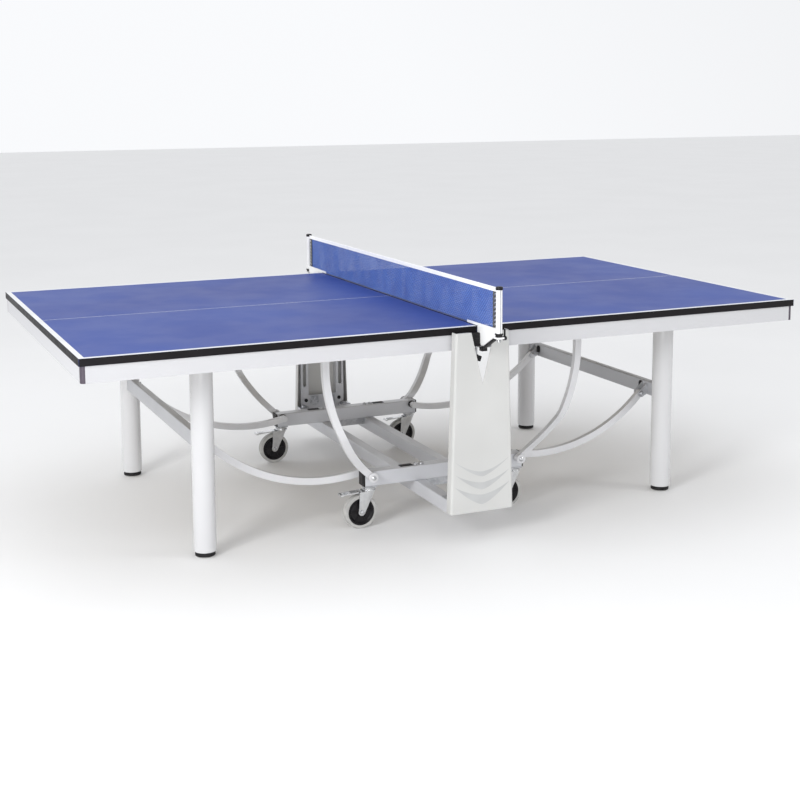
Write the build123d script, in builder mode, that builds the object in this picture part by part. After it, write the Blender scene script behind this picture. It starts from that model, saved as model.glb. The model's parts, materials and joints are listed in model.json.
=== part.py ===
"""Folding table-tennis table: two halves on a rolling central chassis, millimetres, +Z up.

+X runs along the table, +Y across it, and the origin is on the floor under the net's middle.
Each half drops down the slots of the two uprights as it turns up, and its legs fold inwards.
"""
from build123d import *
import math
import os

os.makedirs("parts", exist_ok=True)

SIDES = {"left": -1, "right": 1}
ENDS = {"near": -1, "far": 1}

# Regulation playing surface and net
LENGTH, WIDTH, TOP_Z = 2740.0, 1525.0, 760.0
BOARD_THICKNESS = 25.0
HALF_GAP = 6.0
EDGE_BAND = 3.0
NET_HEIGHT = 152.5

# Rails under each half
APRON_DROP = 55.0
APRON_DEPTH = 30.0
APRON_WALL = 2.5
APRON_INSET = 5.0
CORNER_CAP = 30.0

# Chassis
RAIL_X, RAIL_Y, RAIL_WIDTH = 320.0, 482.0, 50.0
RAIL_BOTTOM, RAIL_TOP = 155.0, 210.0
TUBE_WALL = 3.0
CROSS_X, CROSS_WIDTH, CROSS_HEIGHT = 100.0, 42.0, 50.0
UPRIGHT_IN, UPRIGHT_OUT = 766.0, 800.0
UPRIGHT_BOTTOM, UPRIGHT_TOP = 108.0, 745.0
COVER_HALF_TOP, COVER_HALF_BOTTOM = 106.0, 113.0
COVER_WALL = 3.0
NOTCH_HALF, NOTCH_Z = 46.0, 564.0

# Fold linkage of the right half in the X-Z plane; the left half mirrors it
SLIDE_PIN = (85.0, 725.0)
SLIDE_DROP = 428.0
CHASSIS_PIVOT = (300.0, 195.0)
LIFT_PIN_Z = 710.0
LEG_PIN = (895.0, 690.0)
LEG_STRUT_PIN = (890.0, 372.0)
LIFT_STRUT_BOW = 72.0
LEG_STRUT_BOW = 82.0
STRUT_DEPTH, STRUT_WIDTH = 25.0, 20.0
LIFT_Y_LOW, LIFT_Y_HIGH = 521.0, 593.0
LEG_STRUT_Y = 435.0
PIN_R = 6.0
PIN_BORE_R = PIN_R + 0.05

# Legs and levelling feet
LEG_X, LEG_Y, LEG_R = 925.0, 538.0, 39.0
LEG_WALL = 2.5
LEG_TOP = 668.0
FOOT_R, FOOT_HEIGHT = 34.0, 18.0
BEAM_X, BEAM_THICK = 930.0, 28.0
BEAM_BOTTOM, BEAM_TOP = 365.0, 420.0

# Casters
CASTER_X = 297.0
WHEEL_R, HUB_R, WHEEL_WIDTH = 62.0, 50.0, 30.0
TRAIL = 35.0
AXLE_R = 4.0
CROWN_R, CROWN_BOTTOM, CROWN_TOP = 22.0, 136.0, 149.5
PLATE_BOTTOM = 150.0
PEDAL_PIN_BACK, PEDAL_PIN_Z, PEDAL_PIN_R = 34.0, 134.0, 2.5

# Net set
POST_Y, POST_R = 915.0, 11.0
NET_GAUGE = 3.0
TAPE_HEIGHT = 15.0
GUSSET, GUSSET_X = 3.0, -5.0
KNOB_X, KNOB_STEM_R = -16.0, 4.0
NET_HALF = POST_Y - POST_R - 1.5


def lift_pin_x():
    """X of the lift strut's upper pin: its distance from the chassis pivot is the same folded and flat."""
    pin_x, pin_z = SLIDE_PIN
    pivot_x, pivot_z = CHASSIS_PIVOT
    drop = pin_z - LIFT_PIN_Z
    folded_x = pin_x + drop
    rise = pin_z - SLIDE_DROP - pin_x - pivot_z
    flat = pivot_x**2 + (LIFT_PIN_Z - pivot_z) ** 2
    folded = (folded_x - pivot_x) ** 2 + rise**2
    return (flat - folded) / (2 * (pivot_x + rise))


LIFT_PIN = (lift_pin_x(), LIFT_PIN_Z)
UNDERSIDE = TOP_Z - BOARD_THICKNESS
APRON_BOTTOM = UNDERSIDE - APRON_DROP
APRON_Y = WIDTH / 2 - APRON_INSET
APRON_X = LENGTH / 2 - APRON_INSET


def across(y):
    """X-Z plane at this Y; a sketch's second coordinate is Z."""
    return Plane.XZ.offset(-y)


def save(part, name):
    part.label = name
    export_step(part, f"parts/{name}.step")


def bowed(start, end, bow, side):
    """Arc from start to end that bows outwards and down by bow, on the given side of the net."""
    (x0, z0), (x1, z1) = start, end
    chord = math.hypot(x1 - x0, z1 - z0)
    middle = ((x0 + x1) / 2 + bow * (z1 - z0) / chord, (z0 + z1) / 2 - bow * (x1 - x0) / chord)
    points = [(side * x, z) for x, z in (start, middle, end)]
    return ThreePointArc(*points)


# ---------------------------------------------------------------- the two halves


def board(side):
    with BuildPart() as piece:
        length = LENGTH / 2 - HALF_GAP / 2 - 2 * EDGE_BAND
        with Locations((side * (HALF_GAP / 2 + EDGE_BAND + length / 2), 0, TOP_Z - BOARD_THICKNESS / 2)):
            Box(length, WIDTH - 2 * EDGE_BAND, BOARD_THICKNESS)
    return piece.part


def edge_band(side):
    length = LENGTH / 2 - HALF_GAP / 2
    with BuildPart() as piece:
        with BuildSketch(Plane.XY.offset(UNDERSIDE)):
            with Locations((side * (HALF_GAP / 2 + length / 2), 0)):
                RectangleRounded(length, WIDTH, 2)
                Rectangle(length - 2 * EDGE_BAND, WIDTH - 2 * EDGE_BAND, mode=Mode.SUBTRACT)
        extrude(amount=BOARD_THICKNESS)
    return piece.part


def channel_outline(width, height, wall, opening):
    """C-shaped outline centred on the current location, open towards opening (+1 or -1)."""
    Rectangle(width, height)
    with Locations((opening * wall, 0)):
        Rectangle(width, height - 2 * wall, mode=Mode.SUBTRACT)


def side_aprons(side):
    start, end = 12.0, APRON_X - CORNER_CAP
    with BuildPart() as piece:
        with BuildSketch(Plane.YZ.offset(side * (start + end) / 2)):
            for end_sign in ENDS.values():
                with Locations((end_sign * (APRON_Y - APRON_DEPTH / 2), UNDERSIDE - APRON_DROP / 2)):
                    channel_outline(APRON_DEPTH, APRON_DROP, APRON_WALL, -end_sign)
        extrude(amount=(end - start) / 2, both=True)
        with BuildSketch(Plane.XZ):
            with Locations((side * SLIDE_PIN[0], SLIDE_PIN[1])):
                Circle(PIN_R)
        extrude(amount=WIDTH / 2, both=True, mode=Mode.SUBTRACT)
    return piece.part


def end_apron(side):
    with BuildPart() as piece:
        with BuildSketch(Plane.XZ):
            with Locations((side * (APRON_X - APRON_DEPTH / 2), UNDERSIDE - APRON_DROP / 2)):
                channel_outline(APRON_DEPTH, APRON_DROP, APRON_WALL, -side)
        extrude(amount=APRON_Y - CORNER_CAP, both=True)
    return piece.part


def inner_rail(side):
    """Box tube under the board's inner edge, between the side aprons."""
    width, height, x = 30.0, 35.0, 38.0
    with BuildPart() as piece:
        with BuildSketch(Plane.XZ):
            with Locations((side * x, UNDERSIDE - height / 2)):
                Rectangle(width, height)
                Rectangle(width - 2 * TUBE_WALL, height - 2 * TUBE_WALL, mode=Mode.SUBTRACT)
        extrude(amount=APRON_Y - APRON_DEPTH, both=True)
    return piece.part


def corner_caps(side):
    with BuildPart() as piece:
        for end_sign in ENDS.values():
            with BuildSketch(Plane.XY.offset(APRON_BOTTOM)):
                x, y = side * (APRON_X - CORNER_CAP / 2), end_sign * (APRON_Y - CORNER_CAP / 2)
                with Locations((x, y)):
                    Rectangle(CORNER_CAP, CORNER_CAP)
            extrude(amount=APRON_DROP)
        outer = piece.edges().filter_by(Axis.Z).filter_by(
            lambda edge: abs(edge.center().X) > APRON_X - 1 and abs(edge.center().Y) > APRON_Y - 1
        )
        fillet(outer, 10)
    return piece.part


def brackets(side):
    """Plates and pins under the board for the leg hinges and the lift struts' upper ends."""
    plate, leg_ear, flange = 6.0, 20.0, 5.0
    leg_x, leg_z = LEG_PIN
    lift_x, lift_z = LIFT_PIN
    with BuildPart() as piece:
        for end_sign in ENDS.values():
            for offset in (-24.0, 24.0):
                with BuildSketch(across(end_sign * LEG_Y + offset)):
                    with Locations((side * leg_x, leg_z)):
                        Circle(leg_ear)
                    with Locations((side * leg_x, (leg_z + UNDERSIDE) / 2)):
                        Rectangle(2 * leg_ear, UNDERSIDE - leg_z)
                extrude(amount=plate / 2, both=True)
            with Locations((side * leg_x, end_sign * LEG_Y, UNDERSIDE - flange / 2)):
                Box(90, 100, flange)
            with BuildSketch(across(end_sign * LEG_Y)):
                with Locations((side * leg_x, leg_z)):
                    Circle(PIN_R)
            extrude(amount=32, both=True)
            lift_plate_y = LIFT_Y_HIGH + STRUT_WIDTH / 2 + 2 + plate / 2
            with BuildSketch(across(end_sign * lift_plate_y)):
                with Locations((side * lift_x, lift_z)):
                    Circle(14)
                with Locations((side * lift_x, (lift_z + UNDERSIDE) / 2)):
                    Rectangle(28, UNDERSIDE - lift_z)
            extrude(amount=plate / 2, both=True)
            with Locations((side * lift_x, end_sign * (lift_plate_y + 20), UNDERSIDE - flange / 2)):
                Box(60, 40 + plate, flange)
            pin_in, pin_out = LIFT_Y_HIGH - STRUT_WIDTH / 2 - 1, lift_plate_y + plate
            with BuildSketch(across(end_sign * (pin_in + pin_out) / 2)):
                with Locations((side * lift_x, lift_z)):
                    Circle(PIN_R)
            extrude(amount=(pin_out - pin_in) / 2, both=True)
    return piece.part


def pivot_stubs(side):
    """Stub shafts that stand out of the side aprons into the slide blocks."""
    x, z = SLIDE_PIN
    inner, outer = APRON_Y - 20, 790.0
    with BuildPart() as piece:
        for end_sign in ENDS.values():
            with BuildSketch(across(end_sign * (inner + outer) / 2)):
                with Locations((side * x, z)):
                    Circle(PIN_R)
            extrude(amount=(outer - inner) / 2, both=True)
            with BuildSketch(across(end_sign * (APRON_Y - 10))):
                with Locations((side * x, z - 10)):
                    Rectangle(60, 24)
            extrude(amount=7, both=True)
    return piece.part


# ---------------------------------------------------------------- slides, struts and legs


def slide_blocks(side):
    x, z = SLIDE_PIN
    width, depth, height = 28.0, 20.0, 50.0
    y = 782.0
    with BuildPart() as piece:
        for end_sign in ENDS.values():
            with Locations((side * x, end_sign * y, z - 15)):
                Box(width, depth, height)
        fillet(piece.edges().filter_by(Axis.Y), 6)
        for end_sign in ENDS.values():
            with BuildSketch(across(end_sign * y)):
                with Locations((side * x, z)):
                    Circle(PIN_BORE_R)
            extrude(amount=depth, both=True, mode=Mode.SUBTRACT)
    return piece.part


def lift_struts(side):
    """Curved struts from the chassis pivots up to the halves, joggled outwards past the folded legs."""
    low, high, bend = 225.0, 370.0, 85.0
    pivot_x, pivot_z = CHASSIS_PIVOT
    with BuildPart() as piece:
        with BuildSketch(Plane.XZ):
            with BuildLine() as line:
                bowed(CHASSIS_PIVOT, LIFT_PIN, LIFT_STRUT_BOW, side)
            SlotArc(line.edge(), STRUT_DEPTH)
            for x, z in (CHASSIS_PIVOT, LIFT_PIN):
                with Locations((side * x, z)):
                    Circle(16)
        extrude(amount=WIDTH / 2, both=True)
        with BuildSketch(Plane.YZ):
            for end_sign in ENDS.values():
                with BuildLine() as joggle:
                    points = [(LIFT_Y_LOW, 150), (LIFT_Y_LOW, low), (LIFT_Y_HIGH, high), (LIFT_Y_HIGH, UNDERSIDE)]
                    FilletPolyline(*[(end_sign * y, z) for y, z in points], radius=bend)
                trace(joggle.line, STRUT_WIDTH)
        extrude(amount=LENGTH / 2, both=True, mode=Mode.INTERSECT)
        with BuildSketch(Plane.XZ):
            with Locations((side * LIFT_PIN[0], LIFT_PIN[1])):
                Circle(PIN_BORE_R)
        extrude(amount=WIDTH / 2, both=True, mode=Mode.SUBTRACT)
        for end_sign in ENDS.values():
            with BuildSketch(across(end_sign * (LIFT_Y_LOW + STRUT_WIDTH / 2 + 2.5))):
                with Locations((side * pivot_x, pivot_z)):
                    Circle(12)
            extrude(amount=2.5, both=True)
    return piece.part


def leg_struts(side):
    """Curved struts from the chassis pivots out to the legs' crossbeam."""
    pivot_x, pivot_z = CHASSIS_PIVOT
    with BuildPart() as piece:
        for end_sign in ENDS.values():
            with BuildSketch(across(end_sign * LEG_STRUT_Y)):
                with BuildLine() as line:
                    bowed(CHASSIS_PIVOT, LEG_STRUT_PIN, LEG_STRUT_BOW, side)
                SlotArc(line.edge(), STRUT_DEPTH)
                with Locations((side * LEG_STRUT_PIN[0], LEG_STRUT_PIN[1])):
                    Circle(PIN_BORE_R, mode=Mode.SUBTRACT)
            extrude(amount=STRUT_WIDTH / 2, both=True)
        for end_sign in ENDS.values():
            with BuildSketch(across(end_sign * (LEG_STRUT_Y - STRUT_WIDTH / 2 - 2.5))):
                with Locations((side * pivot_x, pivot_z)):
                    Circle(12)
            extrude(amount=2.5, both=True)
    return piece.part


def leg_tubes(side):
    """Round leg tubes, each with a solid head that holds its hinge and a foot insert."""
    head_width, head_top = 40.0, 708.0
    leg_x, leg_z = LEG_PIN
    insert_height = 45.0
    with BuildPart() as piece:
        for end_sign in ENDS.values():
            with BuildSketch(Plane.XY.offset(FOOT_HEIGHT + 1)):
                with Locations((side * LEG_X, end_sign * LEG_Y)):
                    Circle(LEG_R)
                    Circle(LEG_R - LEG_WALL, mode=Mode.SUBTRACT)
            extrude(amount=LEG_TOP - FOOT_HEIGHT - 1)
            with BuildSketch(Plane.XY.offset(FOOT_HEIGHT + 1)):
                with Locations((side * LEG_X, end_sign * LEG_Y)):
                    Circle(LEG_R - LEG_WALL)
                    Circle(PIN_BORE_R, mode=Mode.SUBTRACT)
            extrude(amount=insert_height)
            with BuildSketch(Plane.XY.offset(LEG_TOP - 30)):
                with Locations((side * LEG_X, end_sign * LEG_Y)):
                    Circle(LEG_R - LEG_WALL)
            extrude(amount=30)
            with BuildSketch(across(end_sign * LEG_Y)):
                inner, outer = leg_x - 15, LEG_X + 30
                with Locations((side * (inner + outer) / 2, (LEG_TOP + head_top) / 2)):
                    Rectangle(outer - inner, head_top - LEG_TOP)
            extrude(amount=head_width / 2, both=True)
        with BuildSketch(Plane.XZ):
            with Locations((side * leg_x, leg_z)):
                Circle(PIN_BORE_R)
        extrude(amount=WIDTH / 2, both=True, mode=Mode.SUBTRACT)
    return piece.part


def leg_crossbeam(side):
    """Beam between the legs with a clevis and pin for each leg strut."""
    pin_x, pin_z = LEG_STRUT_PIN
    plate, ear = 5.0, 15.0
    face_x = BEAM_X - BEAM_THICK / 2
    with BuildPart() as piece:
        with BuildSketch(Plane.XZ):
            with Locations((side * BEAM_X, (BEAM_BOTTOM + BEAM_TOP) / 2)):
                RectangleRounded(BEAM_THICK, BEAM_TOP - BEAM_BOTTOM, 4)
        extrude(amount=LEG_Y - LEG_R + 3, both=True)
        for end_sign in ENDS.values():
            with BuildSketch(Plane.XY.offset(BEAM_BOTTOM - 5)):
                with Locations((side * LEG_X, end_sign * LEG_Y)):
                    Circle(LEG_R)
            extrude(amount=BEAM_TOP - BEAM_BOTTOM + 10, mode=Mode.SUBTRACT)
        for end_sign in ENDS.values():
            for offset in (-1, 1):
                y = end_sign * LEG_STRUT_Y + offset * (STRUT_WIDTH / 2 + 2 + plate / 2)
                with BuildSketch(across(y)):
                    with BuildLine():
                        Polyline(
                            (side * face_x, BEAM_TOP - 4),
                            (side * (pin_x - 4), pin_z + ear - 1),
                            (side * (pin_x + 4), pin_z - ear + 1),
                            (side * face_x, BEAM_BOTTOM + 4),
                            close=True,
                        )
                    make_face()
                    with Locations((side * pin_x, pin_z)):
                        Circle(ear)
                extrude(amount=plate / 2, both=True)
            with BuildSketch(across(end_sign * LEG_STRUT_Y)):
                with Locations((side * pin_x, pin_z)):
                    Circle(PIN_R)
            extrude(amount=STRUT_WIDTH / 2 + 10, both=True)
    return piece.part


def foot(side, end_sign):
    """Screw-adjusted foot: a round pad on a threaded stem."""
    with BuildPart() as piece:
        with BuildSketch(Plane.XY):
            with Locations((side * LEG_X, end_sign * LEG_Y)):
                Circle(FOOT_R)
        extrude(amount=FOOT_HEIGHT)
        fillet(piece.edges().group_by(Axis.Z)[-1], 3)
        with BuildSketch(Plane.XY.offset(FOOT_HEIGHT - 1)):
            with Locations((side * LEG_X, end_sign * LEG_Y)):
                Circle(PIN_R)
        extrude(amount=42)
    return piece.part


# ---------------------------------------------------------------- chassis


def side_rails():
    with BuildPart() as piece:
        with BuildSketch(Plane.YZ):
            for end_sign in ENDS.values():
                with Locations((end_sign * RAIL_Y, (RAIL_BOTTOM + RAIL_TOP) / 2)):
                    RectangleRounded(RAIL_WIDTH, RAIL_TOP - RAIL_BOTTOM, 4)
                    RectangleRounded(
                        RAIL_WIDTH - 2 * TUBE_WALL, RAIL_TOP - RAIL_BOTTOM - 2 * TUBE_WALL, 2, mode=Mode.SUBTRACT
                    )
        extrude(amount=RAIL_X, both=True)
    return piece.part


def cross_tubes():
    top = RAIL_BOTTOM
    with BuildPart() as piece:
        with BuildSketch(Plane.XZ):
            for side in SIDES.values():
                with Locations((side * CROSS_X, top - CROSS_HEIGHT / 2)):
                    RectangleRounded(CROSS_WIDTH, CROSS_HEIGHT, 4)
                    RectangleRounded(CROSS_WIDTH - 2 * TUBE_WALL, CROSS_HEIGHT - 2 * TUBE_WALL, 2, mode=Mode.SUBTRACT)
        extrude(amount=UPRIGHT_IN - 1, both=True)
    return piece.part


def mounting_plates():
    """Saddle plates between the cross tubes under each rail, and the casters' top plates with their kingpins."""
    saddle_height = 28.0
    inner = CROSS_X - CROSS_WIDTH / 2
    with BuildPart() as piece:
        for end_sign in ENDS.values():
            with Locations((0, end_sign * RAIL_Y, RAIL_BOTTOM - saddle_height / 2)):
                Box(2 * inner, RAIL_WIDTH - 10, saddle_height)
            for side in SIDES.values():
                with Locations((side * CASTER_X, end_sign * RAIL_Y, (PLATE_BOTTOM + RAIL_BOTTOM) / 2)):
                    Box(46, RAIL_WIDTH - 2, RAIL_BOTTOM - PLATE_BOTTOM)
                with BuildSketch(Plane.XY.offset(CROWN_BOTTOM + 2)):
                    with Locations((side * CASTER_X, end_sign * RAIL_Y)):
                        Circle(PIN_R)
                extrude(amount=PLATE_BOTTOM - CROWN_BOTTOM)
    return piece.part


def upright_frame(end_sign):
    """Pair of steel channels with the slots that the slide pins run in, a base plate and a top bar."""
    slot_x, slot_half = SLIDE_PIN[0], 7.5
    slot_low, slot_high = 253.0, UPRIGHT_TOP - 12
    channel_in, channel_out = 66.0, 102.0
    wall = 2.5
    flange_out = UPRIGHT_OUT - COVER_WALL - 1
    depth = flange_out - UPRIGHT_IN
    height = UPRIGHT_TOP - 5 - RAIL_BOTTOM
    middle_z = RAIL_BOTTOM + height / 2
    with BuildPart() as piece:
        for side in SIDES.values():
            x = side * (channel_in + channel_out) / 2
            width = channel_out - channel_in
            with Locations((x, end_sign * (UPRIGHT_IN + depth / 2), middle_z)):
                Box(width, depth, height)
            with Locations((x, end_sign * (UPRIGHT_IN + wall + depth / 2), middle_z)):
                Box(width - 2 * wall, depth, height - 2 * wall, mode=Mode.SUBTRACT)
            with BuildSketch(across(end_sign * UPRIGHT_IN)):
                with Locations((side * slot_x, (slot_low + slot_high) / 2)):
                    SlotOverall(slot_high - slot_low + 2 * slot_half, 2 * slot_half, rotation=90)
            extrude(amount=wall + 1, both=True, mode=Mode.SUBTRACT)
        with Locations((0, end_sign * (UPRIGHT_IN + wall / 2), UPRIGHT_TOP - 5 - 20)):
            Box(2 * channel_in, wall, 40)
        with Locations((0, end_sign * (UPRIGHT_IN + wall / 2), RAIL_BOTTOM + 25)):
            Box(2 * channel_in, wall, 50)
        base_height = RAIL_BOTTOM - UPRIGHT_BOTTOM - 4
        with Locations((0, end_sign * (UPRIGHT_IN + depth / 2), RAIL_BOTTOM - base_height / 2)):
            Box(2 * (CROSS_X + 2), depth, base_height)
    return piece.part


def cover_outline(inset, bottom, top):
    """Slightly tapered upright outline, narrower at the top."""
    wide, narrow = COVER_HALF_BOTTOM - inset, COVER_HALF_TOP - inset
    Polygon((-wide, bottom), (wide, bottom), (narrow, top), (-narrow, top), align=None)


def upright_cover(end_sign):
    """Sheet-steel casing on the outside of an upright, with a V notch in its top edge."""
    depth = UPRIGHT_OUT - UPRIGHT_IN
    bend = 9.0
    with BuildPart() as piece:
        with BuildSketch(across(end_sign * UPRIGHT_OUT)):
            cover_outline(0, UPRIGHT_BOTTOM, UPRIGHT_TOP)
        extrude(amount=end_sign * depth)
        front = piece.faces().filter_by(Axis.Y).sort_by(Axis.Y)[-1 if end_sign > 0 else 0]
        sides = front.edges().filter_by(lambda edge: abs(edge.center().X) > 50)
        fillet(sides, bend)
        with BuildSketch(across(end_sign * (UPRIGHT_OUT - COVER_WALL))):
            cover_outline(COVER_WALL, UPRIGHT_BOTTOM + COVER_WALL, UPRIGHT_TOP + 1)
        extrude(amount=end_sign * depth, mode=Mode.SUBTRACT)
        with BuildSketch(across(end_sign * UPRIGHT_OUT)):
            with BuildLine():
                Polyline((-NOTCH_HALF, UPRIGHT_TOP + 1), (0, NOTCH_Z), (NOTCH_HALF, UPRIGHT_TOP + 1), close=True)
            make_face()
        extrude(amount=end_sign * (COVER_WALL + bend), both=True, mode=Mode.SUBTRACT)
    return piece.part


def plastic_plugs():
    """Black plugs: rail ends, strips on the rails' tops, bosses in the uprights and spacers at the pivots."""
    pivot_x, pivot_z = CHASSIS_PIVOT
    rail_height = RAIL_TOP - RAIL_BOTTOM
    with BuildPart() as piece:
        for end_sign in ENDS.values():
            for side in SIDES.values():
                with Locations((side * (RAIL_X + 2.5), end_sign * RAIL_Y, (RAIL_BOTTOM + RAIL_TOP) / 2)):
                    Box(5, RAIL_WIDTH - 1, rail_height - 1)
                with Locations((side * 150, end_sign * RAIL_Y, RAIL_TOP + 1)):
                    Box(50, 24, 2)
                for inner, outer in (
                    (RAIL_Y + RAIL_WIDTH / 2, LIFT_Y_LOW - STRUT_WIDTH / 2 - 1),
                    (LEG_STRUT_Y + STRUT_WIDTH / 2 + 1, RAIL_Y - RAIL_WIDTH / 2),
                ):
                    with BuildSketch(across(end_sign * (inner + outer) / 2)):
                        with Locations((side * pivot_x, pivot_z)):
                            Circle(15)
                    extrude(amount=(outer - inner) / 2, both=True)
                with BuildSketch(across(end_sign * (UPRIGHT_IN - 2))):
                    with Locations((side * 79, 182)):
                        Circle(8)
                extrude(amount=2, both=True)
    return piece.part


def chassis_fasteners():
    """Bolt heads on the rails and the angle brackets that bolt the uprights to the cross tubes."""
    with BuildPart() as piece:
        for end_sign in ENDS.values():
            for side in SIDES.values():
                for x in (CROSS_X - 12, CROSS_X + 12):
                    with BuildSketch(Plane.XY.offset(RAIL_TOP)):
                        with Locations((side * x, end_sign * RAIL_Y)):
                            Circle(8)
                    extrude(amount=4)
                with Locations((side * CROSS_X, end_sign * (UPRIGHT_IN - 20), RAIL_BOTTOM + 2)):
                    Box(CROSS_WIDTH, 40, 4)
                with Locations((side * 40, end_sign * (UPRIGHT_IN - 2), RAIL_BOTTOM + 24)):
                    Box(40, 4, 40)
                with BuildSketch(Plane.XY.offset(RAIL_BOTTOM + 4)):
                    with Locations((side * CROSS_X, end_sign * (UPRIGHT_IN - 22))):
                        RegularPolygon(9, 6)
                extrude(amount=7)
    return piece.part


# ---------------------------------------------------------------- casters


def caster_fork(side, end_sign):
    """Swivel fork: crown, two cheeks down to the axle, and the axle bolt."""
    x0, y0 = side * CASTER_X, end_sign * RAIL_Y
    axle_x, cheek = x0 - TRAIL, 2.5
    cheek_y = WHEEL_WIDTH / 2 + 3 + cheek / 2
    with BuildPart() as piece:
        with BuildSketch(Plane.XY.offset(CROWN_BOTTOM)):
            with Locations((x0, y0)):
                Circle(CROWN_R)
        extrude(amount=CROWN_TOP - CROWN_BOTTOM)
        with Locations((x0 - 5, y0, CROWN_BOTTOM)):
            Box(38, 2 * cheek_y + cheek, cheek + 2)
        with BuildSketch(Plane.XY.offset(CROWN_BOTTOM - 5)):
            with Locations((x0, y0)):
                Circle(PIN_BORE_R)
        extrude(amount=30, mode=Mode.SUBTRACT)
        for offset in (-1, 1):
            with BuildSketch(across(y0 + offset * cheek_y)):
                with BuildLine():
                    Polyline(
                        (x0 + 14, CROWN_BOTTOM),
                        (axle_x + 12, WHEEL_R - 4),
                        (axle_x - 12, WHEEL_R - 4),
                        (axle_x - 7, CROWN_BOTTOM),
                        close=True,
                    )
                make_face()
                with Locations((axle_x, WHEEL_R)):
                    Circle(13)
            extrude(amount=cheek / 2, both=True)
        with BuildSketch(across(y0)):
            with Locations((axle_x, WHEEL_R)):
                Circle(AXLE_R)
        extrude(amount=cheek_y + cheek / 2 + 4, both=True)
        with BuildSketch(across(y0)):
            with Locations((x0 - PEDAL_PIN_BACK, PEDAL_PIN_Z)):
                Circle(PEDAL_PIN_R)
        extrude(amount=cheek_y + cheek / 2, both=True)
    return piece.part


def caster_wheel(side, end_sign):
    """Plastic hub in a rubber tread ring, a hair apart so that they stay two solids."""
    x, y = side * CASTER_X - TRAIL, end_sign * RAIL_Y
    groove, hair = 1.5, 0.05
    with BuildPart() as piece:
        with BuildSketch(across(y)):
            with Locations((x, WHEEL_R)):
                Circle(HUB_R)
                Circle(AXLE_R + 0.05, mode=Mode.SUBTRACT)
        extrude(amount=WHEEL_WIDTH / 2 - groove, both=True)
        with BuildSketch(across(y)):
            with Locations((x, WHEEL_R)):
                Circle(WHEEL_R)
                Circle(HUB_R + hair, mode=Mode.SUBTRACT)
        extrude(amount=WHEEL_WIDTH / 2, both=True)
        rims = piece.edges().filter_by(GeomType.CIRCLE).filter_by(lambda edge: edge.radius > WHEEL_R - 1)
        fillet(rims, 4)
    return piece.part


def caster_pedal(side, end_sign):
    """Brake pedal over the wheel, turning on a pin between the fork's cheeks."""
    pin_x = side * CASTER_X - PEDAL_PIN_BACK
    reach, tread_start = 78.0, 34.0
    with BuildPart() as piece:
        with BuildSketch(across(end_sign * RAIL_Y)):
            with BuildLine():
                Polyline(
                    (pin_x, PEDAL_PIN_Z + 3),
                    (pin_x - tread_start, PEDAL_PIN_Z + 2),
                    (pin_x - reach, PEDAL_PIN_Z - 2),
                    (pin_x - reach, PEDAL_PIN_Z - 6),
                    (pin_x - tread_start, PEDAL_PIN_Z - 2),
                    (pin_x, PEDAL_PIN_Z - 3),
                    close=True,
                )
            make_face()
            with Locations((pin_x, PEDAL_PIN_Z)):
                Circle(5)
                Circle(PEDAL_PIN_R + 0.05, mode=Mode.SUBTRACT)
        extrude(amount=15, both=True)
    return piece.part


# ---------------------------------------------------------------- net set


def net_mesh():
    with BuildPart() as piece:
        height = NET_HEIGHT - TAPE_HEIGHT - 3
        with Locations((0, 0, TOP_Z + 3 + height / 2)):
            Box(NET_GAUGE, 2 * NET_HALF, height)
    return piece.part


def net_top_band():
    with BuildPart() as piece:
        with Locations((0, 0, TOP_Z + NET_HEIGHT - TAPE_HEIGHT / 2)):
            Box(NET_GAUGE + 2, 2 * NET_HALF, TAPE_HEIGHT)
    return piece.part


def net_posts():
    bottom, top = TOP_Z - 2, TOP_Z + NET_HEIGHT - 5
    with BuildPart() as piece:
        for end_sign in ENDS.values():
            with BuildSketch(Plane.XY.offset(bottom)):
                with Locations((0, end_sign * POST_Y)):
                    Circle(POST_R)
            extrude(amount=top - bottom)
    return piece.part


def net_post_caps():
    with BuildPart() as piece:
        for end_sign in ENDS.values():
            for z, height in ((TOP_Z + NET_HEIGHT - 5, 5.0), (TOP_Z - 14, 12.0)):
                with BuildSketch(Plane.XY.offset(z)):
                    with Locations((0, end_sign * POST_Y)):
                        Circle(POST_R + 1)
                extrude(amount=height)
    return piece.part


def net_brackets():
    """Gusset plates that carry the posts, beside the net, with a socket block under each post."""
    reach, root, post_side = 690.0, UPRIGHT_IN + 3, POST_Y - POST_R - 1
    top, low, tip_in, tip_out = TOP_Z + 12, TOP_Z - 62, 796.0, 812.0
    with BuildPart() as piece:
        for end_sign in ENDS.values():
            with BuildSketch(Plane.YZ.offset(GUSSET_X)):
                outline = [
                    (reach, TOP_Z + 3),
                    (reach, top),
                    (post_side, top + 2),
                    (post_side, TOP_Z - 12),
                    (tip_out, low),
                    (tip_in, low),
                    (root, UNDERSIDE),
                    (root, TOP_Z + 3),
                ]
                Polygon(*[(end_sign * y, z) for y, z in outline], align=None)
            extrude(amount=GUSSET / 2, both=True)
            with Locations((0, end_sign * POST_Y, TOP_Z - 17)):
                Box(28, 26, 6)
            with Locations((GUSSET_X / 2, end_sign * (post_side + 1), TOP_Z - 17)):
                Box(-GUSSET_X + GUSSET, 4, 6)
    return piece.part


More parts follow.
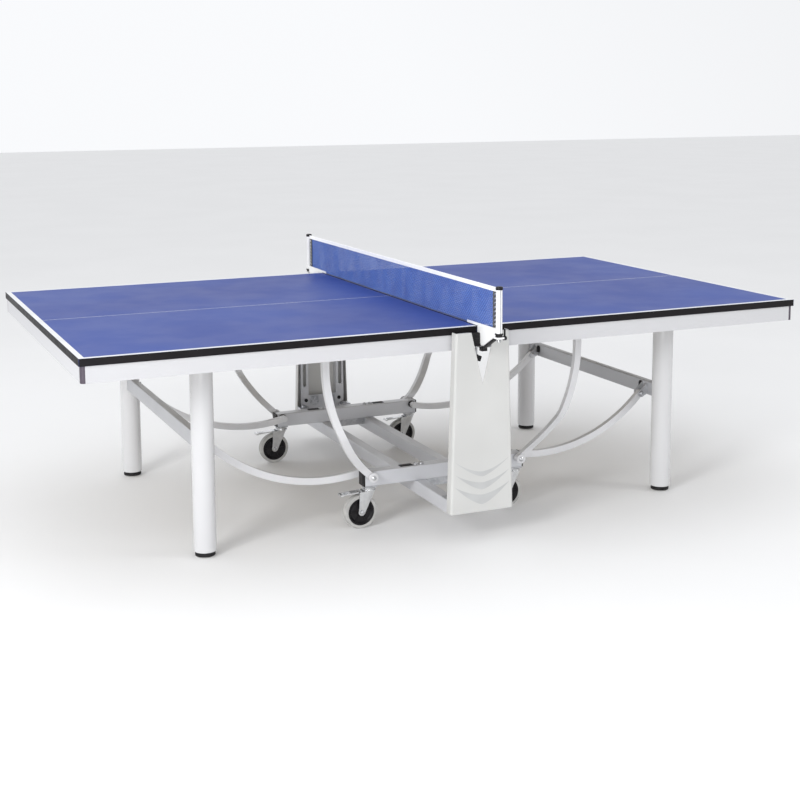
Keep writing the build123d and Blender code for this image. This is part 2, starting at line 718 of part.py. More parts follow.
def net_clamps():
    """Black jaws that hold the gussets to the uprights' top bars, and the struts under the gussets."""
    width, depth, height = 42.0, 22.0, 38.0
    centre_y, centre_z = UPRIGHT_IN + 14, UPRIGHT_TOP - 23
    low, slope_in, slope_out, rise = TOP_Z - 77, 808.0, 900.0, 50.0
    with BuildPart() as piece:
        for end_sign in ENDS.values():
            with Locations((KNOB_X, end_sign * centre_y, centre_z)):
                Box(width, depth, height)
            with Locations((GUSSET_X, end_sign * centre_y, centre_z)):
                Box(GUSSET + 1, depth, height, mode=Mode.SUBTRACT)
            with Locations((KNOB_X, end_sign * centre_y, centre_z - height / 2 - 4)):
                Box(width, depth, 8)
            with BuildSketch(Plane.XY.offset(centre_z - height / 2 - 9)):
                with Locations((KNOB_X, end_sign * centre_y)):
                    Circle(KNOB_STEM_R + 0.05)
            extrude(amount=24, mode=Mode.SUBTRACT)
            with BuildSketch(Plane.YZ.offset(GUSSET_X)):
                outline = [
                    (slope_in, low),
                    (slope_in, low + 9),
                    (slope_out, low + 9 + rise),
                    (slope_out, low + rise),
                ]
                Polygon(*[(end_sign * y, z) for y, z in outline], align=None)
            extrude(amount=5, both=True)
    return piece.part


def clamp_knob(end_sign):
    """Wing knob on a screw, turned to tighten the net clamp."""
    y, bottom, head = UPRIGHT_IN + 14, 642.0, 22.0
    with BuildPart() as piece:
        with BuildSketch(Plane.XY.offset(bottom)):
            with Locations((KNOB_X, end_sign * y)):
                Circle(9)
                Rectangle(30, 8)
        extrude(amount=head)
        with BuildSketch(Plane.XY.offset(bottom + head)):
            with Locations((KNOB_X, end_sign * y)):
                Circle(KNOB_STEM_R)
        extrude(amount=44)
    return piece.part


def build():
    for side_name, side in SIDES.items():
        for maker in (board, edge_band, side_aprons, end_apron, inner_rail, corner_caps, brackets, pivot_stubs):
            save(maker(side), f"{side_name}_{maker.__name__}")
        for maker in (slide_blocks, lift_struts, leg_struts, leg_tubes, leg_crossbeam):
            save(maker(side), f"{side_name}_{maker.__name__}")
        for end_name, end_sign in ENDS.items():
            for maker in (foot, caster_fork, caster_wheel, caster_pedal):
                save(maker(side, end_sign), f"{end_name}_{side_name}_{maker.__name__}")
    for maker in (side_rails, cross_tubes, mounting_plates, plastic_plugs, chassis_fasteners):
        save(maker(), maker.__name__)
    for maker in (net_mesh, net_top_band, net_posts, net_post_caps, net_brackets, net_clamps):
        save(maker(), maker.__name__)
    for end_name, end_sign in ENDS.items():
        for maker in (upright_frame, upright_cover, clamp_knob):
            save(maker(end_sign), f"{end_name}_{maker.__name__}")


build()
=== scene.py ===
import json
import math

import bmesh
import bpy
from mathutils import Matrix, Vector

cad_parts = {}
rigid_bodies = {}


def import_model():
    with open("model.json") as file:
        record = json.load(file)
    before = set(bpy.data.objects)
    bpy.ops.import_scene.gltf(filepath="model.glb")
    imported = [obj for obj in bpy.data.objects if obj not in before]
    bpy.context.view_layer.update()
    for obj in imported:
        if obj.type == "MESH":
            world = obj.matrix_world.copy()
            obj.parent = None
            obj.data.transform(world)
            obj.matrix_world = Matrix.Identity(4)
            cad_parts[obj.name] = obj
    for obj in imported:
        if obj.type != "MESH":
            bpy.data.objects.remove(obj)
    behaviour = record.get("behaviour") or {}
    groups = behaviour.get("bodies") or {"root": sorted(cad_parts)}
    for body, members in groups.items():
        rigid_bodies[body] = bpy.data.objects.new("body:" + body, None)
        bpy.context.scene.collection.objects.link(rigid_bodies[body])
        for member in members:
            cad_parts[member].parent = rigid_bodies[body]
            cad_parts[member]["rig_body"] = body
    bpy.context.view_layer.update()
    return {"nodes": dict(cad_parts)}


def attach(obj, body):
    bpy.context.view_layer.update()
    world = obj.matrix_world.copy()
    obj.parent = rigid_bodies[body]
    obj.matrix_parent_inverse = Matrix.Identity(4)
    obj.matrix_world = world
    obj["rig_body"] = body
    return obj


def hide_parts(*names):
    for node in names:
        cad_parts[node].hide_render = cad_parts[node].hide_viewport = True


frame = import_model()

NODES = frame["nodes"]
SCENE = bpy.context.scene
MM = 0.001

SIDES = {"left": -1, "right": 1}
ENDS = {"near": -1, "far": 1}

# ------------------------------------------------------------------ camera, lights and floor

EYE = (-2.1384, -4.8998, 1.5793)
FORWARD = Vector((0.403, 0.9044, -0.14019)).normalized()
LEVEL = Vector((0.91319, -0.40752, -0.00391)).normalized()
LENS, SENSOR = 61.46, 36.0
DROP_SHIFT = -0.15  # a little lens drop keeps the legs and uprights close to parallel


def make_camera():
    lens = bpy.data.cameras.new("camera")
    lens.lens, lens.sensor_width, lens.shift_y = LENS, SENSOR, DROP_SHIFT
    camera = bpy.data.objects.new("camera", lens)
    SCENE.collection.objects.link(camera)
    up = LEVEL.cross(FORWARD)
    turn = Matrix((LEVEL, up, -FORWARD)).transposed().to_4x4()
    camera.matrix_world = Matrix.Translation(EYE) @ turn
    SCENE.camera = camera


def soft_light(name, at, aim, size, power):
    """A large soft box that faces aim."""
    lamp = bpy.data.lights.new(name, "AREA")
    lamp.shape, lamp.size, lamp.energy = "SQUARE", size, power
    box = bpy.data.objects.new(name, lamp)
    SCENE.collection.objects.link(box)
    box.location = at
    box.rotation_euler = (Vector(aim) - Vector(at)).to_track_quat("-Z", "Y").to_euler()


def make_lights():
    middle = (0.0, 0.0, 0.5)
    soft_light("key", (-4.8, -3.4, 2.8), middle, 1.8, 145.0)
    soft_light("low fill", (-2.4, -4.8, 0.6), middle, 1.6, 42.0)
    soft_light("overhead", (0.4, 0.6, 4.6), middle, 4.0, 22.0)
    soft_light("side", (4.4, -3.6, 2.4), middle, 1.6, 36.0)
    world = bpy.data.worlds.new("studio")
    world.use_nodes = True
    tree = world.node_tree
    sky = tree.nodes["Background"]
    sky.inputs["Color"].default_value = (0.97, 0.98, 1.0, 1.0)
    # The studio's walls are white behind and to the left, and a little dimmer overhead and to the right
    toward = add_node(tree, "ShaderNodeTexCoord").outputs["Generated"]
    facing = add_node(
        tree, "ShaderNodeVectorMath", {"operation": "DOT_PRODUCT"}, {0: toward, 1: (-0.6, 0.6, -0.5)}
    )
    away = {"From Min": -0.7, "From Max": 0.3}
    dim_to_bright = {"To Min": 0.74, "To Max": 0.98}
    level = add_node(
        tree, "ShaderNodeMapRange", inputs={"Value": facing.outputs["Value"], **away, **dim_to_bright}
    )
    tree.links.new(level.outputs["Result"], sky.inputs["Strength"])
    SCENE.world = world
    SCENE.view_settings.view_transform = "Standard"


# ------------------------------------------------------------------ materials


def linear(code):
    """sRGB hex to linear RGBA."""
    parts = [int(code[i : i + 2], 16) / 255 for i in (1, 3, 5)]
    return (*[c / 12.92 if c <= 0.04045 else ((c + 0.055) / 1.055) ** 2.4 for c in parts], 1.0)


# A colour Mix node's sockets, by place because their names repeat
MIX_FACTOR, MIX_FIRST, MIX_SECOND, MIX_RESULT = 0, 6, 7, 2
WAVE_TURN = math.tau / 20  # a Wave node's bands repeat every WAVE_TURN / scale


def add_node(tree, kind, settings=None, inputs=None):
    """Adds a node: settings are its properties, inputs its values or the outputs linked to it."""
    made = tree.nodes.new(kind)
    for key, value in (settings or {}).items():
        setattr(made, key, value)
    for key, value in (inputs or {}).items():
        if isinstance(value, bpy.types.NodeSocket):
            tree.links.new(value, made.inputs[key])
        else:
            made.inputs[key].default_value = value
    return made


def new_material(name):
    material = bpy.data.materials.new(name)
    material.use_nodes = True
    tree = material.node_tree
    where = add_node(tree, "ShaderNodeTexCoord").outputs["Object"]
    return material, tree, tree.nodes["Principled BSDF"], where


# Most of a noise or wave lies between these two values
USUAL = {"From Min": 0.25, "From Max": 0.75}
SMOOTH = {"interpolation_type": "SMOOTHSTEP"}
NO_STRETCH = (1.0, 1.0, 1.0)


def coating(
    name, low, high, roughness, grain_mm, depth_mm, patch_mm, stretch=NO_STRETCH, strength=0.35, **sockets
):
    """A finish with slow colour drift, uneven gloss and a fine grain.

    low and high are its two colours, roughness its least and most, grain_mm the grain's width, depth_mm
    its height, patch_mm the width of its colour patches and stretch the grain's squeeze per axis. sockets
    are the shader's own constants.
    """
    material, tree, shader, where = new_material(name)
    squeezed = add_node(tree, "ShaderNodeMapping", inputs={"Vector": where, "Scale": stretch})
    drawn = squeezed.outputs["Vector"]
    patches = add_node(
        tree, "ShaderNodeTexNoise", inputs={"Vector": where, "Scale": 1000.0 / patch_mm, "Detail": 2.0}
    )
    drift = add_node(tree, "ShaderNodeMapRange", SMOOTH, {"Value": patches.outputs["Fac"], **USUAL})
    colour = add_node(
        tree,
        "ShaderNodeMix",
        {"data_type": "RGBA"},
        {MIX_FACTOR: drift.outputs["Result"], MIX_FIRST: linear(low), MIX_SECOND: linear(high)},
    )
    tree.links.new(colour.outputs[MIX_RESULT], shader.inputs["Base Color"])
    smears = add_node(
        tree, "ShaderNodeTexNoise", inputs={"Vector": drawn, "Scale": 4000.0 / patch_mm, "Detail": 3.0}
    )
    gloss = add_node(
        tree,
        "ShaderNodeMapRange",
        SMOOTH,
        {"Value": smears.outputs["Fac"], **USUAL, "To Min": roughness[0], "To Max": roughness[1]},
    )
    tree.links.new(gloss.outputs["Result"], shader.inputs["Roughness"])
    grain = add_node(
        tree, "ShaderNodeTexNoise", inputs={"Vector": drawn, "Scale": 1000.0 / grain_mm, "Detail": 3.0}
    )
    bump = add_node(
        tree,
        "ShaderNodeBump",
        inputs={"Height": grain.outputs["Fac"], "Distance": depth_mm * MM, "Strength": strength},
    )
    tree.links.new(bump.outputs["Normal"], shader.inputs["Normal"])
    for key, value in sockets.items():
        shader.inputs[key.replace("_", " ")].default_value = value
    return material


# The shader's constants under a clear topcoat
COATED = {"Coat_Weight": 0.25, "Coat_Roughness": 0.2, "IOR": 1.5}


def make_materials():
    """Every finish by its real name."""
    finishes = {}
    # Rolled polyurethane table lacquer: matte, so it shows the lights only as a broad pale sheen
    finishes["table lacquer"] = coating(
        "table_lacquer", "#284294", "#2F4DA0", (0.42, 0.5), 1.2, 0.04, 700.0, Specular_IOR_Level=0.24
    )
    # Screen-printed line paint: a thin white layer, slightly chalky
    finishes["line paint"] = coating(
        "line_paint", "#E6E8EA", "#F2F3F4", (0.45, 0.6), 0.9, 0.04, 120.0, IOR=1.5
    )
    # Calendered PVC edging: near-black with a dull leather-like press pattern
    finishes["edging"] = coating(
        "pvc_edging", "#0D0A0C", "#161215", (0.42, 0.56), 1.4, 0.08, 90.0, Specular_IOR_Level=0.2
    )
    # Electrostatic powder coat on steel: fine orange peel that breaks up the highlights
    finishes["silver powder"] = coating(
        "silver_powder_coat", "#D4D4D6", "#DCDCDE", (0.28, 0.36), 2.2, 0.06, 260.0, Metallic=0.2, IOR=1.5
    )
    finishes["white powder"] = coating(
        "white_powder_coat", "#CECED0", "#D2D2D3", (0.22, 0.24), 2.5, 0.03, 1200.0, strength=0.1, **COATED
    )
    # Stoved enamel on the net's metalwork: a clean cold white, smoother than powder coat
    finishes["white enamel"] = coating(
        "white_enamel", "#EBEBEC", "#F3F3F3", (0.18, 0.26), 2.0, 0.03, 90.0, strength=0.12, **COATED
    )
    # The same powder on the aprons and on the legs' crossbeams, each made a shade darker than on the legs as
    # painted shade
    finishes["apron powder"] = coating(
        "apron_powder_coat_painted_shade", "#C7C7CA", "#CACACC", (0.3, 0.32), 2.5, 0.03, 1200.0, strength=0.1, IOR=1.5
    )
    finishes["beam powder"] = coating(
        "beam_powder_coat_painted_shade", "#B2B3B7", "#BBBCBF", (0.3, 0.38), 2.2, 0.04, 400.0, Metallic=0.2, IOR=1.5
    )
    finishes["cover powder"] = coating(
        "grey_powder_coat", "#C2C2C0", "#CCCCCA", (0.36, 0.46), 2.0, 0.05, 300.0, IOR=1.5
    )
    finishes["chassis powder"] = coating(
        "chassis_powder_coat", "#C6C7CB", "#D0D1D5", (0.3, 0.4), 2.0, 0.04, 250.0, Metallic=0.2, IOR=1.5
    )
    # Two-tone crescents silk-screened over the cover's powder coat, with a satin face
    finishes["crescent ink"] = coating(
        "crescent_ink", "#B4B5B5", "#BCBDBD", (0.38, 0.5), 1.6, 0.04, 60.0, IOR=1.5
    )
    # Passivated zinc plate: spangled cool grey metal, cloudy where the bath was uneven
    finishes["zinc"] = coating(
        "zinc_plate", "#B2B4B8", "#D2D3D6", (0.24, 0.42), 3.0, 0.05, 22.0, Metallic=1.0
    )
    # Bright nickel-chrome on nuts and axle ends: mirror-like with fine buffing marks
    finishes["chrome"] = coating(
        "bright_chrome", "#CFD0D2", "#DEDFE0", (0.08, 0.18), 0.8, 0.02, 16.0, (1, 1, 6), Metallic=1.0
    )
    # Injection-moulded ABS with spark-eroded texture
    finishes["moulded black"] = coating(
        "moulded_black_plastic", "#0E0C0F", "#19171A", (0.4, 0.52), 0.8, 0.06, 40.0, Specular_IOR_Level=0.32
    )
    # Extruded corner trim: dark plum-grey PVC, drawn lengthwise
    finishes["corner trim"] = coating(
        "plum_corner_trim", "#433A46", "#554C58", (0.3, 0.42), 1.2, 0.05, 50.0, (1, 1, 0.2), IOR=1.53
    )
    # Grey thermoplastic rubber tyre: dusty, with a band of wear
    finishes["tread"] = coating(
        "grey_rubber_tread", "#A9A8A6", "#BEBDBA", (0.6, 0.78), 1.0, 0.1, 30.0, IOR=1.52
    )
    # Underside of the board: raw chipboard, sealed once, with flakes showing
    finishes["chipboard"] = chipboard()
    finishes["net cord"] = cord_material("knotted_net_cord", "#2A4EA0", "#4F77C2", 6.91)
    finishes["bottom cord"] = cord_material("navy_bottom_cord", "#18213F", "#26325A", 10.05)
    finishes["black lacing"] = cord_material("black_lacing_cord", "#17171B", "#2B2B31", 8.8)
    finishes["tape"] = tape_material()
    return finishes


def chipboard():
    """Greyish wood flakes pressed flat, a few millimetres long."""
    material, tree, shader, where = new_material("sealed_chipboard")
    drawn = add_node(tree, "ShaderNodeMapping", inputs={"Vector": where, "Scale": (1.0, 0.55, 1.0)})
    flakes = add_node(
        tree,
        "ShaderNodeTexVoronoi",
        {"feature": "F1"},
        {"Vector": drawn.outputs["Vector"], "Scale": 1000.0 / 5.0, "Randomness": 1.0},
    )
    tone = add_node(tree, "ShaderNodeSeparateColor", inputs={"Color": flakes.outputs["Color"]})
    colour = add_node(
        tree,
        "ShaderNodeMix",
        {"data_type": "RGBA"},
        {MIX_FACTOR: tone.outputs["Red"], MIX_FIRST: linear("#8E8474"), MIX_SECOND: linear("#ACA291")},
    )
    tree.links.new(colour.outputs[MIX_RESULT], shader.inputs["Base Color"])
    sealer = add_node(
        tree, "ShaderNodeTexNoise", inputs={"Vector": where, "Scale": 1000.0 / 40.0, "Detail": 3.0}
    )
    gloss = add_node(
        tree,
        "ShaderNodeMapRange",
        inputs={"Value": sealer.outputs["Fac"], **USUAL, "To Min": 0.5, "To Max": 0.7},
    )
    tree.links.new(gloss.outputs["Result"], shader.inputs["Roughness"])
    bump = add_node(
        tree,
        "ShaderNodeBump",
        inputs={"Height": flakes.outputs["Distance"], "Distance": 0.15 * MM, "Strength": 0.3},
    )
    tree.links.new(bump.outputs["Normal"], shader.inputs["Normal"])
    return material


def cord_material(name, low, high, twist_mm):
    """Twisted polyamide cord: slanting strands, with a soft sheen.

    A real one turns about every 2 mm, too fine to show, so twist_mm is several times that.
    """
    material, tree, shader, where = new_material(name)
    twist = add_node(
        tree,
        "ShaderNodeTexWave",
        {"wave_type": "BANDS", "bands_direction": "DIAGONAL"},
        {"Vector": where, "Scale": 1000.0 * WAVE_TURN / twist_mm, "Distortion": 1.0},
    )
    fading = add_node(
        tree, "ShaderNodeTexNoise", inputs={"Vector": where, "Scale": 1000.0 / 60.0, "Detail": 3.0}
    )
    shade = add_node(
        tree,
        "ShaderNodeMath",
        {"operation": "MULTIPLY"},
        {0: twist.outputs["Fac"], 1: fading.outputs["Fac"]},
    )
    drift = add_node(
        tree,
        "ShaderNodeMapRange",
        inputs={"Value": shade.outputs["Value"], "From Min": 0.1, "From Max": 0.5},
    )
    colour = add_node(
        tree,
        "ShaderNodeMix",
        {"data_type": "RGBA"},
        {MIX_FACTOR: drift.outputs["Result"], MIX_FIRST: linear(low), MIX_SECOND: linear(high)},
    )
    tree.links.new(colour.outputs[MIX_RESULT], shader.inputs["Base Color"])
    gloss = add_node(
        tree,
        "ShaderNodeMapRange",
        inputs={"Value": fading.outputs["Fac"], **USUAL, "To Min": 0.6, "To Max": 0.8},
    )
    tree.links.new(gloss.outputs["Result"], shader.inputs["Roughness"])
    bump = add_node(
        tree,
        "ShaderNodeBump",
        inputs={"Height": twist.outputs["Fac"], "Distance": 0.2 * MM, "Strength": 0.5},
    )
    tree.links.new(bump.outputs["Normal"], shader.inputs["Normal"])
    shader.inputs["Sheen Weight"].default_value = 0.3
    return material


def tape_material():
    """Plain-woven cotton tape: its threads lie about a millimetre apart, drawn coarser so as to show."""
    material, tree, shader, where = new_material("woven_cotton_tape")
    thread_mm = 7.54
    bands = [
        add_node(
            tree,
            "ShaderNodeTexWave",
            {"wave_type": "BANDS", "bands_direction": axis},
            {"Vector": where, "Scale": 1000.0 * WAVE_TURN / thread_mm, "Distortion": 0.4},
        ).outputs["Fac"]
        for axis in ("Y", "Z")
    ]
    weave = add_node(tree, "ShaderNodeMath", {"operation": "MULTIPLY"}, {0: bands[0], 1: bands[1]})
    handled = add_node(
        tree, "ShaderNodeTexNoise", inputs={"Vector": where, "Scale": 1000.0 / 25.0, "Detail": 3.0}
    )
    drift = add_node(tree, "ShaderNodeMapRange", inputs={"Value": handled.outputs["Fac"], **USUAL})
    colour = add_node(
        tree,
        "ShaderNodeMix",
        {"data_type": "RGBA"},
        {
            MIX_FACTOR: drift.outputs["Result"],
            MIX_FIRST: linear("#F0F0F1"),
            MIX_SECOND: linear("#FAFAFA"),
        },
    )
    tree.links.new(colour.outputs[MIX_RESULT], shader.inputs["Base Color"])
    gloss = add_node(
        tree,
        "ShaderNodeMapRange",
        inputs={"Value": handled.outputs["Fac"], **USUAL, "To Min": 0.75, "To Max": 0.9},
    )
    tree.links.new(gloss.outputs["Result"], shader.inputs["Roughness"])
    bump = add_node(
        tree,
        "ShaderNodeBump",
        inputs={"Height": weave.outputs["Value"], "Distance": 0.2 * MM, "Strength": 0.5},
    )
    tree.links.new(bump.outputs["Normal"], shader.inputs["Normal"])
    shader.inputs["Sheen Weight"].default_value = 0.25
    return material


# ------------------------------------------------------------------ ways to make a piece


def block(mesh, low, high, slot=0):
    """A box between two corners, in millimetres, its faces in that material slot. Returns its corners."""
    size = Matrix.Diagonal([(b - a) * MM for a, b in zip(low, high)]).to_4x4()
    place = Matrix.Translation([(a + b) / 2 * MM for a, b in zip(low, high)]) @ size
    corners = bmesh.ops.create_cube(mesh, size=1, matrix=place)["verts"]
    faces = {face for corner in corners for face in corner.link_faces}
    for face in faces:
        face.material_index = slot
    return corners


def edges_of(verts):
    return list({edge for vert in verts for edge in vert.link_edges})


def cut(mesh, point, normal):
    """Cuts new edges into the whole mesh, along a plane through a point in millimetres."""
    geometry = mesh.verts[:] + mesh.edges[:] + mesh.faces[:]
    place = [value * MM for value in point]
    bmesh.ops.bisect_plane(mesh, geom=geometry, dist=1e-7, plane_co=place, plane_no=normal)


# Turns that carry a shape's Z axis to each axis
AXES = {
    "X": Matrix.Rotation(math.pi / 2, 4, "Y"),
    "Y": Matrix.Rotation(-math.pi / 2, 4, "X"),
    "Z": Matrix(),
}


def grown_from(verts):
    """All vertices joined to these by edges."""
    seen, heap = set(verts), list(verts)
    while heap:
        for edge in heap.pop().link_edges:
            for vert in edge.verts:
                if vert not in seen:
                    seen.add(vert)
                    heap.append(vert)
    return list(seen)


def turned(mesh, profile, at, axis="Z", steps=48, slot=0, toward=1):
    """A solid of revolution from (radius, height) points in millimetres, along axis from at."""
    rows = [mesh.verts.new((radius * MM, 0, toward * height * MM)) for radius, height in profile]
    edges = [mesh.edges.new(pair) for pair in zip(rows, rows[1:])]
    bmesh.ops.spin(
        mesh,
        geom=rows + edges,
        cent=(0, 0, 0),
        axis=(0, 0, 1),
        angle=math.tau,
        steps=steps,
        use_merge=True,
        use_duplicate=False,
    )
    verts = grown_from(rows)
    place = Matrix.Translation([value * MM for value in at]) @ AXES[axis]
    bmesh.ops.transform(mesh, matrix=place, verts=verts)
    faces = {face for vert in verts for face in vert.link_faces}
    for face in faces:
        face.material_index = slot


def hexagon(mesh, across, height, at, axis="Z", slot=0):
    """A nut or bolt head with chamfered corners, across its flats, in millimetres."""
    radius = across / math.sqrt(3)
    place = Matrix.Translation([value * MM for value in at]) @ AXES[axis]
    made = bmesh.ops.create_cone(
        mesh,
        cap_ends=True,
        segments=6,
        radius1=radius * MM,
        radius2=radius * MM,
        depth=height * MM,
        matrix=place,
    )["verts"]
    soften(mesh, edges_of(made), min(across, height) * 0.1, 2)
    for face in {face for vert in made if vert.is_valid for face in vert.link_faces}:
        face.material_index = slot


def soften(mesh, edges, radius_mm, segments):
    """Rounds edges by radius_mm."""
    bmesh.ops.bevel(
        mesh,
        geom=edges,
        offset=radius_mm * MM,
        offset_type="OFFSET",
        affect="EDGES",
        segments=segments,
        profile=0.5,
        material=-1,
    )


def prism(mesh, outline, low, high):
    """Extrudes an outline of X and Z in millimetres along Y, from low to high."""
    verts = [mesh.verts.new((x * MM, low * MM, z * MM)) for x, z in outline]
    pushed = bmesh.ops.extrude_face_region(mesh, geom=[mesh.faces.new(verts)])["geom"]
    moved = [item for item in pushed if isinstance(item, bmesh.types.BMVert)]
    bmesh.ops.translate(mesh, vec=(0, (high - low) * MM, 0), verts=moved)


def place_piece(name, mesh, body, finishes, replaced=(), sharp=35.0, bevel_mm=0.0, segments=2):
    """Makes a bmesh into a piece that rides on body and stands for the replaced nodes."""
    bmesh.ops.remove_doubles(mesh, verts=mesh.verts, dist=1e-6)
    bmesh.ops.recalc_face_normals(mesh, faces=mesh.faces)
    data = bpy.data.meshes.new(name)
    mesh.to_mesh(data)
    mesh.free()
    for finish in finishes:
        data.materials.append(FINISHES[finish])
    data.shade_smooth()
    data.set_sharp_from_angle(angle=math.radians(sharp))
    piece = bpy.data.objects.new(name, data)
    SCENE.collection.objects.link(piece)
    if bevel_mm:
        rounding = piece.modifiers.new("rounded edges", "BEVEL")
        rounding.width, rounding.segments = bevel_mm * MM, segments
        rounding.limit_method, rounding.angle_limit = "ANGLE", math.radians(35)
        rounding.harden_normals = True
    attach(piece, body)
    if replaced:
        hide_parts(*replaced)
    return piece


def softened(node, finish, bevel_mm, segments=2, more=None):
    """A copy of a CAD node with its flats whole and its edges rounded. more adds shapes to the copy."""
    body = NODES[node]["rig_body"]
    mesh = bmesh.new()
    mesh.from_mesh(NODES[node].data)
    for face in mesh.faces:
        face.material_index = 0
    bmesh.ops.remove_doubles(mesh, verts=mesh.verts, dist=1e-6)
    bmesh.ops.dissolve_limit(
        mesh, angle_limit=math.radians(1.0), verts=mesh.verts, edges=mesh.edges, delimit={"NORMAL"}
    )
    if more:
        more(mesh)
    finishes = finish if isinstance(finish, tuple) else (finish,)
    place_piece(
        f"{node}_finished", mesh, body, finishes, (node,), bevel_mm=bevel_mm, segments=segments
    )


# ------------------------------------------------------------------ the two halves

TOP, THICK = 760.0, 25.0
HALF_LENGTH, HALF_WIDTH = 1370.0, 762.5
BAND = 1.0
EDGE_LINE, CENTRE_LINE = 20.0, 1.5


def make_board(side_name, side):
    """Blue lacquered board, its painted lines cut into its top face."""
    low_x, high_x = sorted((side * (3 + BAND), side * (HALF_LENGTH - BAND)))
    width = HALF_WIDTH - BAND
    mesh = bmesh.new()
    block(mesh, (low_x, -width, TOP - THICK), (high_x, width, TOP))
    for y in (EDGE_LINE - HALF_WIDTH, -CENTRE_LINE, CENTRE_LINE, HALF_WIDTH - EDGE_LINE):
        cut(mesh, (0, y, 0), (0, 1, 0))
    cut(mesh, (side * (HALF_LENGTH - EDGE_LINE), 0, 0), (1, 0, 0))
    for face in mesh.faces:
        centre = face.calc_center_median() / MM
        if face.normal.z < -0.5:
            face.material_index = 2
        elif face.normal.z > 0.5:
            on_edge = abs(centre.y) > HALF_WIDTH - EDGE_LINE or abs(centre.x) > HALF_LENGTH - EDGE_LINE
            face.material_index = int(on_edge or abs(centre.y) < CENTRE_LINE)
    finishes = ("table lacquer", "line paint", "chipboard")
    place_piece(
        f"{side_name}_playing_board",
        mesh,
        f"{side_name}_half",
        finishes,
        (f"{side_name}_board",),
    )


def make_edging(side_name, side):
    """Thin edging round the board, with a rounded lip."""
    low_x, high_x = sorted((side * 3, side * HALF_LENGTH))
    mesh = bmesh.new()
    block(mesh, (low_x, -HALF_WIDTH, TOP - THICK + 0.3), (high_x, HALF_WIDTH, TOP - 0.2))
    upright = [e for e in mesh.edges if abs((e.verts[0].co - e.verts[1].co).z) > 0.01]
    soften(mesh, upright, 4.0, 5)
    caps = [face for face in mesh.faces if abs(face.normal.z) > 0.5]
    bmesh.ops.delete(mesh, geom=caps, context="FACES_ONLY")
    rim = [edge for edge in mesh.edges if edge.is_boundary and edge.verts[0].co.z > (TOP - 5) * MM]
    corner = 4.5  # the rounded corner's points lie within this of both edges
    centre_x, half_x = (low_x + high_x) / 2 * MM, (high_x - low_x) / 2 * MM
    for inward, down in ((0.5, 0.0), (BAND, -0.3)):
        grown = bmesh.ops.extrude_edge_only(mesh, edges=rim)["geom"]
        verts = [item for item in grown if isinstance(item, bmesh.types.BMVert)]
        rim = [item for item in grown if isinstance(item, bmesh.types.BMEdge)]
        for vert in verts:
            step_x = math.copysign(inward, vert.co.x - centre_x)
            step_y = math.copysign(inward, vert.co.y)
            near_x = abs(abs(vert.co.x - centre_x) - half_x) < corner * MM
            near_y = abs(abs(vert.co.y) - HALF_WIDTH * MM) < corner * MM
            vert.co.x -= step_x * MM if near_x else 0
            vert.co.y -= step_y * MM if near_y else 0
            vert.co.z += down * MM
    for height in (TOP - 19.0, TOP - 17.6):
        cut(mesh, (0, 0, height), (0, 0, 1))
    place_piece(
        f"{side_name}_board_edging",
        mesh,
        f"{side_name}_half",
        ("edging",),
        (f"{side_name}_edge_band",),
        sharp=50,
    )


def trim_corner(mesh):
    """Splits each corner into its dark trim and the powder-coated ends of the aprons beside it."""
    trim, apron_x, apron_y = 15.0, HALF_LENGTH - 5, HALF_WIDTH - 5
    for x in (-1, 1):
        cut(mesh, (x * (apron_x - trim), 0, 0), (1, 0, 0))
        cut(mesh, (0, x * (apron_y - trim), 0), (0, 1, 0))
    for face in mesh.faces:
        centre = face.calc_center_median() / MM
        beside = abs(centre.x) < apron_x - trim or abs(centre.y) < apron_y - trim
        face.material_index = int(beside)


def make_half(side_name, side):
    make_board(side_name, side)
    make_edging(side_name, side)
    # The aprons take the darker copy of the leg powder, painted shade
    softened(f"{side_name}_side_aprons", "apron powder", 1.2)
    softened(f"{side_name}_end_apron", "apron powder", 1.2)
    trim = ("corner trim", "apron powder")
    softened(f"{side_name}_corner_caps", trim, 0.8, more=trim_corner)
    softened(f"{side_name}_inner_rail", "chassis powder", 1.5)
    softened(f"{side_name}_brackets", "zinc", 0.6)
    softened(f"{side_name}_pivot_stubs", "zinc", 0.5)
    softened(f"{side_name}_slide_blocks", "moulded black", 0.6)
    strut = ("silver powder", "chrome")
    softened(f"{side_name}_lift_struts", strut, 6.0, 4, more=lift_nuts(side))
    softened(f"{side_name}_leg_struts", "silver powder", 6.0, 4)
    # The crossbeam takes a darker copy of the powder, painted shade
    softened(
        f"{side_name}_leg_crossbeam",
        ("beam powder", "moulded black", "zinc"),
        0.8,
        more=beam_clips(side),
    )


# ------------------------------------------------------------------ legs and feet

LEG_X, LEG_Y, LEG_R = 925.0, 538.0, 39.0
LEG_TOP, HEAD_X, HEAD_TOP = 668.0, 917.5, 708.0


def make_legs(side_name, side):
    """Round white legs: rolled lower lip, top collar and hinge head."""
    mesh = bmesh.new()
    for end in ENDS.values():
        at = (side * LEG_X, end * LEG_Y, 0)
        profile = [
            (0, 66), (8, 66), (8, 19.5), (LEG_R - 5, 19.5), (LEG_R - 3, 19), (LEG_R - 1, 19.2),
            (LEG_R, 20.5), (LEG_R, 30), (LEG_R, 200), (LEG_R, 400), (LEG_R, 600), (LEG_R, 660),
            (LEG_R - 0.6, LEG_TOP - 2), (LEG_R - 2.5, LEG_TOP), (0, LEG_TOP),
        ]
        turned(mesh, profile, at, steps=64)
        x, y = side * HEAD_X, end * LEG_Y
        head = block(mesh, (x - 37.5, y - 20, LEG_TOP - 1), (x + 37.5, y + 20, HEAD_TOP))
        crosswise = [
            edge
            for edge in edges_of(head)
            if abs(edge.verts[0].co.y - edge.verts[1].co.y) > 0.01 and edge.verts[0].co.z > 0.7
        ]
        soften(mesh, crosswise, 10.0, 5)
    place_piece(
        f"{side_name}_round_legs",
        mesh,
        f"{side_name}_legs",
        ("white powder",),
        (f"{side_name}_leg_tubes",),
        bevel_mm=0.6,
    )


